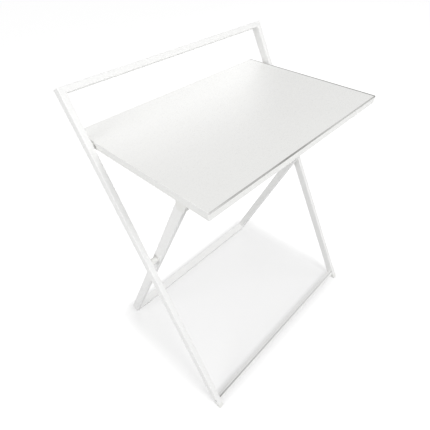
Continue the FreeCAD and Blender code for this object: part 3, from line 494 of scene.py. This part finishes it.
def paper_sweep(colours, studio):
    """Matt white background paper, dull, with a faint felt-like mottle and a painted shadow under the
    desk.
    """
    material, tree, output = new_material("white_paper_sweep")
    mottle_width = 60 * MM
    mottle_shade = 0.99
    # The ground that the desk covers, where a weaker glow paints a shadow, and the width of the rim
    # in which the lift sets in.
    half_ground = 0.31
    rim_width = 0.11
    # The ground is wider than deep; depth is stretched to make it square.
    depth_stretch = 1.4
    place = add_node(tree, "ShaderNodeTexCoord").outputs["Object"]
    mottle = add_node(tree, "ShaderNodeTexNoise", {
        "Vector": place, "Scale": per_cell(mottle_width), "Detail": 2})
    tint = add_node(tree, "ShaderNodeMix", {
        "Factor": mottle.outputs["Fac"],
        "A": opaque(shade(colours.floor, mottle_shade)),
        "B": opaque(colours.floor)}, data_type="RGBA")
    paper = add_node(tree, "ShaderNodeBsdfDiffuse", {"Color": tint.outputs["Result"]})
    stretched = add_node(tree, "ShaderNodeVectorMath", {
        0: place, 1: (1, depth_stretch, 1)}, operation="MULTIPLY")
    apart = add_node(tree, "ShaderNodeVectorMath", {0: stretched.outputs["Vector"]}, operation="ABSOLUTE")
    axes = add_node(tree, "ShaderNodeSeparateXYZ", {"Vector": apart.outputs["Vector"]})
    distance = add_node(tree, "ShaderNodeMath", {
        0: axes.outputs["X"], 1: axes.outputs["Y"], 2: rim_width}, operation="SMOOTH_MAX")
    # Painted shadow: the glow is weaker over the ground that the desk covers.
    lift = add_node(tree, "ShaderNodeMapRange", {
        "Value": distance.outputs["Value"], "From Min": half_ground, "From Max": half_ground + rim_width,
        "To Min": studio.painted_shadow_lift, "To Max": studio.far_lift}, interpolation_type="SMOOTHSTEP")
    strength = add_node(tree, "ShaderNodeMath", {
        0: seen_directly(tree), 1: lift.outputs["Result"]}, operation="MULTIPLY")
    glow = add_node(tree, "ShaderNodeEmission", {"Strength": strength.outputs["Value"]})
    both = add_node(tree, "ShaderNodeAddShader", {0: paper.outputs["BSDF"], 1: glow.outputs["Emission"]})
    tree.links.new(both.outputs["Shader"], output.inputs["Surface"])
    return material


FINISHES = {
    "frame_powder_coat": satin_powder_coat,
    "desk_powder_coat": textured_powder_coat,
    "white_nylon": moulded_nylon,
    "natural_nylon": turned_nylon,
    "zinc_steel": zinc_plate,
}
made = {}


def finish(slot_name):
    """The material of one of the desk's finishes, made once."""
    if slot_name not in made:
        made[slot_name] = FINISHES[slot_name](bpy.context.scene.desk_colours)
    return made[slot_name]


def dress(nodes, slot_name):
    """Give the named frame nodes one finish."""
    for name in nodes:
        for slot in frame["nodes"][name].material_slots:
            slot.material = finish(slot_name)


def both_sides(names):
    """The left and the right node of each name."""
    return [f"{name}_{side}" for name in names for side, _ in SIDES]


# Meshes
# Edges steeper than these are drawn sharp; a thread's flanks are steeper than a bead's.
SHARP_ANGLE = math.radians(35)
THREAD_SHARP_ANGLE = math.radians(80)


def reach(node, direction):
    """The lowest and the highest place of a frame node along a direction."""
    along = [vertex.co.dot(direction) for vertex in frame["nodes"][node].data.vertices]
    return min(along), max(along)


def half_across(node, direction):
    """Half of a frame node's size along a direction."""
    low, high = reach(node, direction)
    return (high - low) / 2


def add_piece(name, parts, body, slot_name, sharp_angle=SHARP_ANGLE):
    """One mesh object made of several closed parts, riding on a body."""
    vertices = []
    faces = []
    for part_vertices, part_faces in parts:
        first = len(vertices)
        vertices.extend(part_vertices)
        faces.extend([[first + index for index in face] for face in part_faces])
    mesh = bpy.data.meshes.new(name)
    mesh.from_pydata(vertices, [], faces)
    mesh.update()
    mesh.shade_smooth()
    mesh.set_sharp_from_angle(angle=sharp_angle)
    mesh.materials.append(finish(slot_name))
    piece = bpy.data.objects.new(name, mesh)
    bpy.context.scene.collection.objects.link(piece)
    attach(piece, body)
    return piece


def ring_faces(ring_count, ring_size, closed_ends=True):
    """Faces that join rings of points one after another, and close both ends."""
    faces = []
    for ring in range(ring_count - 1):
        for index in range(ring_size):
            following = (index + 1) % ring_size
            low, high = ring * ring_size, (ring + 1) * ring_size
            faces.append((low + index, low + following, high + following, high + index))
    if closed_ends:
        last = (ring_count - 1) * ring_size
        faces.append(tuple(reversed(range(ring_size))))
        faces.append(tuple(range(last, last + ring_size)))
    return faces


def bead(start, end, profile, pitch):
    """A weld bead from start to end: the profile swells at each ripple and closes at both ends."""
    swell = 0.1
    steps_per_ripple = 8
    thin_end = 0.15
    length = (end - start).length
    count = max(3, round(length / pitch * steps_per_ripple))
    rounding = min(length / 4, max(offset.length for offset in profile))
    vertices = []
    for step in range(count + 1):
        along = length * step / count
        ripple = 1 + swell * math.cos(2 * math.pi * along / pitch)
        inward = min(1, min(along, length - along) / rounding)
        taper = thin_end + (1 - thin_end) * math.sqrt(inward * (2 - inward))
        centre = start.lerp(end, step / count)
        vertices.extend(centre + offset * ripple * taper for offset in profile)
    return vertices, ring_faces(count + 1, len(profile))


def fillet_profile(first, second, leg):
    """A slightly full triangle between two faces that meet, with its legs along first and second."""
    fullness = 1.5
    arc_points = 7
    profile = [Vector((0, 0, 0))]
    for index in range(arc_points):
        angle = index / (arc_points - 1) * math.pi / 2
        along_first = first * leg * math.cos(angle) ** fullness
        along_second = second * leg * math.sin(angle) ** fullness
        profile.append(along_first + along_second)
    return profile


def seam_profile(sideways, outward, width, height):
    """A low crown on a flat face, sunk a little so that no gap shows."""
    arc_points = 7
    profile = [-outward * height - sideways * width / 2, -outward * height + sideways * width / 2]
    for index in range(arc_points):
        angle = index / (arc_points - 1) * math.pi
        profile.append(sideways * width / 2 * math.cos(angle) + outward * height * math.sin(angle))
    return profile


def spot_weld(centre, outward, radius, rim):
    """A spot weld: a round dent with a low rim, seen on a face that looks outward."""
    points = 20
    # From the rim inwards: shares of the radius, each with a share of the rim's height.
    outline_shares = ((1, -0.4), (1, 0), (0.86, 1), (0.7, 0.5), (0.35, 0.15))
    side = outward.cross(BACK).normalized()
    other = outward.cross(side)
    vertices = []
    for share, height in outline_shares:
        for index in range(points):
            angle = 2 * math.pi * index / points
            flat = side * math.cos(angle) + other * math.sin(angle)
            vertices.append(centre + flat * radius * share + outward * rim * height)
    return vertices, ring_faces(len(outline_shares), points)


class DESK_OT_outer_frame(bpy.types.Operator):
    """Coat the outer legs, the back rail and the front cross bar"""

    bl_idname = "desk.outer_frame"
    bl_label = "Outer frame"

    def execute(self, context):
        dress(OUTER_TUBES, "frame_powder_coat")
        return {"FINISHED"}


class DESK_OT_inner_frame(bpy.types.Operator):
    """Coat the bent inner tube and its top bar"""

    bl_idname = "desk.inner_frame"
    bl_label = "Inner frame"

    def execute(self, context):
        dress(INNER_TUBES, "frame_powder_coat")
        return {"FINISHED"}


class DESK_OT_tray(bpy.types.Operator):
    """Coat the tray, its stiffeners and its pivot plates"""

    bl_idname = "desk.tray"
    bl_label = "Tray"

    def execute(self, context):
        dress(TRAY_SHEET, "desk_powder_coat")
        return {"FINISHED"}


class DESK_OT_mouldings(bpy.types.Operator):
    """Finish the feet, the glides, the caps, the sockets and the pivots' spacers and washers"""

    bl_idname = "desk.mouldings"
    bl_label = "Mouldings"

    def execute(self, context):
        dress(both_sides(MOULDINGS), "white_nylon")
        return {"FINISHED"}


class DESK_OT_pivots(bpy.types.Operator):
    """Finish the pivots' bushes, bolts and inserts"""

    bl_idname = "desk.pivots"
    bl_label = "Pivots"

    def execute(self, context):
        dress(both_sides(BUSHES), "natural_nylon")
        dress(both_sides(COATED_BOLTS), "frame_powder_coat")
        dress(both_sides(PLATED_FIXINGS), "zinc_steel")
        return {"FINISHED"}


def threaded_stud(low, high, pitch, depth):
    """A stud from low to high with a thread cut round it and a chamfered end."""
    points = 24
    steps_per_turn = 8
    centre = (low + high) / 2
    radius = (high.x - low.x) / 2
    rows = round((high.z - low.z) / pitch * steps_per_turn)
    vertices = []
    for row in range(rows + 1):
        z = low.z + (high.z - low.z) * row / rows
        chamfer = max(0, depth - (z - low.z))
        for index in range(points):
            turn = index / points
            phase = ((z - low.z) / pitch + turn) % 1
            groove = depth * (1 - abs(2 * phase - 1))
            r = radius - max(groove, chamfer)
            angle = 2 * math.pi * turn
            vertices.append(Vector((centre.x + r * math.cos(angle), centre.y + r * math.sin(angle), z)))
    return vertices, ring_faces(rows + 1, points)


def chamfered_nut(low, high, bore_radius):
    """A hexagon nut whose corners are turned off at both ends."""
    points = 72
    chamfer_angle = math.radians(30)
    face_share = 0.95
    centre = (low + high) / 2
    flat = (high.x - low.x) / 2
    face_radius = flat * face_share
    rings = [[] for _ in range(6)]
    for index in range(points):
        angle = 2 * math.pi * index / points
        sector = math.radians(60)
        off_flat = (angle + sector / 2) % sector - sector / 2
        corner = flat / math.cos(off_flat)
        drop = max(0, corner - face_radius) * math.tan(chamfer_angle)
        outward = Vector((math.cos(angle), math.sin(angle), 0))
        for ring, (radius, z) in zip(rings, (
            (bore_radius, low.z), (face_radius, low.z), (corner, low.z + drop),
            (corner, high.z - drop), (face_radius, high.z), (bore_radius, high.z),
        )):
            ring.append(Vector((centre.x, centre.y, z)) + outward * radius)
    vertices = [point for ring in rings for point in ring]
    faces = ring_faces(len(rings), points, closed_ends=False)
    last = (len(rings) - 1) * points
    for index in range(points):
        following = (index + 1) % points
        faces.append((following, index, last + index, last + following))
    return vertices, faces


class DESK_OT_stud_fixings(bpy.types.Operator):
    """Make the threaded studs and chamfered nuts that hold the leg sockets"""

    bl_idname = "desk.stud_fixings"
    bl_label = "Studs and nuts"

    def execute(self, context):
        sizes = context.scene.desk_sizes
        for name in both_sides(("socket_stud_front", "socket_stud_rear")):
            low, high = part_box(name)
            part = threaded_stud(low, high, sizes.thread_pitch, sizes.thread_depth)
            stud = add_piece(f"threaded_{name}", [part], "desktop", "zinc_steel", THREAD_SHARP_ANGLE)
            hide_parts(name)
            nut_name = name.replace("stud", "nut")
            nut_low, nut_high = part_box(nut_name)
            bore = (high.x - low.x) / 2
            nut = add_piece(
                f"chamfered_{nut_name}", [chamfered_nut(nut_low, nut_high, bore)], "desktop", "zinc_steel")
            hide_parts(nut_name)
        return {"FINISHED"}


class DESK_OT_frame_welds(bpy.types.Operator):
    """Lay the weld beads of both frames"""

    bl_idname = "desk.frame_welds"
    bl_label = "Frame welds"

    def execute(self, context):
        sizes = context.scene.desk_sizes
        self.outer_welds(sizes)
        self.inner_welds(sizes)
        return {"FINISHED"}

    def outer_welds(self, sizes):
        """Mitre seams and inside fillets at the rail, and fillets above and below the front bar."""
        rail = middle("back_rail")
        half = half_across("back_rail", OUTER_UP)
        depth = half_across("back_rail", OUTER_BACK)
        bar = middle("front_cross_bar")
        half_bar = half_across("front_cross_bar", OUTER_UP)
        inner_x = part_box("front_cross_bar")[1].x
        outer_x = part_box("outer_leg_right")[1].x
        for name, side in SIDES:
            inside = ACROSS * side * inner_x
            outside = ACROSS * side * outer_x
            parts = []
            for face in (OUTER_BACK, -OUTER_BACK):
                surface = rail + face * depth
                low = surface + inside - OUTER_UP * half
                high = surface + outside + OUTER_UP * half
                sideways = (high - low).cross(face).normalized()
                profile = seam_profile(sideways, face, sizes.seam_width, sizes.seam_height)
                parts.append(bead(low, high, profile, sizes.weld_pitch))
            inward = -ACROSS * side
            parts.append(self.cross_bead(
                rail + inside - OUTER_UP * half, OUTER_BACK * (depth - sizes.tube_corner),
                -OUTER_UP, inward, sizes))
            add_piece(f"rail_weld_{name}", parts, "outer_frame", "frame_powder_coat")
            parts = []
            for up in (1, -1):
                corner = bar + inside + OUTER_UP * half_bar * up
                parts.append(self.cross_bead(
                    corner, OUTER_BACK * (half_bar - sizes.tube_corner), OUTER_UP * up, inward, sizes))
            add_piece(f"front_bar_weld_{name}", parts, "outer_frame", "frame_powder_coat")

    def inner_welds(self, sizes):
        """Fillets above and below the top bar."""
        bar = middle("inner_top_bar")
        half = half_across("inner_top_bar", INNER_UP)
        flat = half_across("inner_top_bar", INNER_BACK) - sizes.tube_corner
        end_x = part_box("inner_top_bar")[1].x
        for name, side in SIDES:
            parts = []
            for up in (1, -1):
                corner = bar + ACROSS * side * end_x + INNER_UP * half * up
                parts.append(self.cross_bead(
                    corner, INNER_BACK * flat, INNER_UP * up, -ACROSS * side, sizes))
            add_piece(f"top_bar_weld_{name}", parts, "inner_frame", "frame_powder_coat")

    def cross_bead(self, corner, half_length, first, second, sizes):
        """A fillet that runs across a tube, half_length to each side of its middle."""
        profile = fillet_profile(first, second, sizes.weld_leg)
        return bead(corner - half_length, corner + half_length, profile, sizes.weld_pitch)


class DESK_OT_tray_welds(bpy.types.Operator):
    """Press the stiffeners' spot welds and lay the beads of the pivot plates"""

    bl_idname = "desk.tray_welds"
    bl_label = "Tray welds"

    def execute(self, context):
        sizes = context.scene.desk_sizes
        self.spot_welds(sizes)
        self.plate_welds(sizes)
        return {"FINISHED"}

    def spot_welds(self, sizes):
        """A row of spots along each flange of both stiffeners."""
        for name in ("front_stiffener", "rear_stiffener"):
            low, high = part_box(name)
            sheet = high.z - sizes.flange_sheet
            count = round((high.x - low.x) / sizes.spot_pitch)
            parts = []
            for y in (low.y + sizes.flange / 2, high.y - sizes.flange / 2):
                for index in range(count):
                    x = low.x + (high.x - low.x) * (index + 0.5) / count
                    centre = Vector((x, y, sheet))
                    parts.append(spot_weld(centre, -UP, sizes.spot_size / 2, sizes.spot_height))
            add_piece(f"{name}_spots", parts, "desktop", "desk_powder_coat")

    def plate_welds(self, sizes):
        """An upright bead at each end of both pivot plates."""
        for name, side in SIDES:
            low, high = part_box(f"pivot_plate_{name}")
            flange_x = high.x if side > 0 else low.x
            parts = []
            for y, outward in ((low.y, -BACK), (high.y, BACK)):
                bottom = Vector((flange_x, y, low.z))
                top = Vector((flange_x, y, high.z))
                profile = fillet_profile(outward, -ACROSS * side, sizes.weld_leg)
                parts.append(bead(bottom, top, profile, sizes.weld_pitch))
            add_piece(f"pivot_plate_weld_{name}", parts, "desktop", "desk_powder_coat")


# Where the softboxes face: the desk's middle, and a place level with the tray's pale band.
DESK_MIDDLE = (0, 0, 0.6)
BAND_PLACE = (1.6, 0.14, 0.74)
# Each softbox: name, place, what it faces, and its width and height.
SOFTBOXES = (
    ("key", (-0.3, -2.0, 2.4), DESK_MIDDLE, (1.2, 1.2)),
    ("left", (-2.3, 0.0, 1.3), DESK_MIDDLE, (1.4, 1.2)),
    ("front", (-0.4, -2.6, 0.9), DESK_MIDDLE, (1.6, 1.0)),
    ("right", (1.7, -1.6, 1.6), DESK_MIDDLE, (1.2, 1.2)),
    ("band", (1.6, 2.0, 1.9), BAND_PLACE, (2.3, 0.32)),
)


class DESK_OT_studio(bpy.types.Operator):
    """Set up the paper sweep, the lights and the camera"""

    bl_idname = "desk.studio"
    bl_label = "Studio"

    def execute(self, context):
        studio = context.scene.desk_studio
        self.floor(context, studio)
        self.world(context, studio)
        for name, place, target, size in SOFTBOXES:
            power = getattr(studio, f"{name}_power")
            lamp = self.softbox(context, f"{name}_softbox", Vector(place), Vector(target), size, power)
            if name == "band":
                self.pass_by(lamp, OUTER_TUBES)
        self.camera(context, studio)
        context.scene.view_settings.view_transform = "Standard"
        return {"FINISHED"}

    def floor(self, context, studio):
        """A square sheet of paper on the floor."""
        half = studio.floor_size / 2
        mesh = bpy.data.meshes.new("paper_sweep")
        corners = [(-half, -half, 0), (half, -half, 0), (half, half, 0), (-half, half, 0)]
        mesh.from_pydata(corners, [], [(0, 1, 2, 3)])
        mesh.materials.append(paper_sweep(context.scene.desk_colours, studio))
        floor = bpy.data.objects.new("paper_sweep", mesh)
        context.scene.collection.objects.link(floor)

    def world(self, context, studio):
        """White where it is seen, and an even pale light for everything else."""
        world = bpy.data.worlds.new("studio_walls")
        world.use_nodes = True
        tree = world.node_tree
        tree.nodes.clear()
        level = add_node(tree, "ShaderNodeMapRange", {
            "Value": seen_directly(tree), "To Min": studio.world_level, "To Max": 1})
        walls = add_node(tree, "ShaderNodeBackground", {
            "Color": (1, 1, 1, 1), "Strength": level.outputs["Result"]})
        add_node(tree, "ShaderNodeOutputWorld", {"Surface": walls.outputs["Background"]})
        context.scene.world = world

    def softbox(self, context, name, place, target, size, power):
        """A rectangular soft light that faces the target."""
        light = bpy.data.lights.new(name, "AREA")
        light.shape = "RECTANGLE"
        light.size, light.size_y = size
        light.energy = power
        lamp = bpy.data.objects.new(name, light)
        lamp.location = place
        lamp.rotation_euler = (target - place).to_track_quat("-Z", "Y").to_euler()
        context.scene.collection.objects.link(lamp)
        return lamp

    def pass_by(self, lamp, nodes):
        """Let a lamp's light pass the named frame nodes, so that they draw no stripe on the tray."""
        passed = bpy.data.collections.new(f"{lamp.name}_passes")
        for name in nodes:
            passed.objects.link(frame["nodes"][name])
        for entry in passed.collection_objects:
            entry.light_linking.link_state = "EXCLUDE"
        lamp.light_linking.blocker_collection = passed

    def camera(self, context, studio):
        """A camera at the photograph's place and angle."""
        heading, pitch, roll = studio.camera_heading, studio.camera_pitch, studio.camera_roll
        forward = Vector((
            math.sin(heading) * math.cos(pitch), math.cos(heading) * math.cos(pitch), math.sin(pitch)))
        level_right = Vector((math.cos(heading), -math.sin(heading), 0))
        level_up = level_right.cross(forward)
        right = level_right * math.cos(roll) + level_up * math.sin(roll)
        upward = level_up * math.cos(roll) - level_right * math.sin(roll)
        data = bpy.data.cameras.new("photo_camera")
        data.lens = studio.camera_lens
        camera = bpy.data.objects.new("photo_camera", data)
        turn = Matrix((right, upward, -forward)).transposed().to_4x4()
        camera.matrix_world = Matrix.Translation(Vector(studio.camera_place)) @ turn
        context.scene.collection.objects.link(camera)
        context.scene.camera = camera


STEPS = (
    DESK_OT_outer_frame,
    DESK_OT_inner_frame,
    DESK_OT_tray,
    DESK_OT_mouldings,
    DESK_OT_pivots,
    DESK_OT_stud_fixings,
    DESK_OT_frame_welds,
    DESK_OT_tray_welds,
    DESK_OT_studio,
)


class DESK_PT_steps(bpy.types.Panel):
    """Lists the steps that finish the desk"""

    bl_idname = "DESK_PT_steps"
    bl_label = "Folding desk"
    bl_space_type = "VIEW_3D"
    bl_region_type = "UI"
    bl_category = "Desk"

    def draw(self, context):
        for step in STEPS:
            self.layout.operator(step.bl_idname)


GROUPS = (DeskColours, DeskSizes, StudioSettings)
CLASSES = (*GROUPS, *STEPS, DESK_PT_steps)


def register():
    for item in CLASSES:
        bpy.utils.register_class(item)
    bpy.types.Scene.desk_colours = PointerProperty(type=DeskColours)
    bpy.types.Scene.desk_sizes = PointerProperty(type=DeskSizes)
    bpy.types.Scene.desk_studio = PointerProperty(type=StudioSettings)


def unregister():
    del bpy.types.Scene.desk_studio
    del bpy.types.Scene.desk_sizes
    del bpy.types.Scene.desk_colours
    for item in reversed(CLASSES):
        bpy.utils.unregister_class(item)


def main():
    """Run every step in order."""
    register()
    for step in STEPS:
        group, name = step.bl_idname.split(".")
        getattr(getattr(bpy.ops, group), name)()
    bpy.context.view_layer.update()


if __name__ == "__main__":
    main()
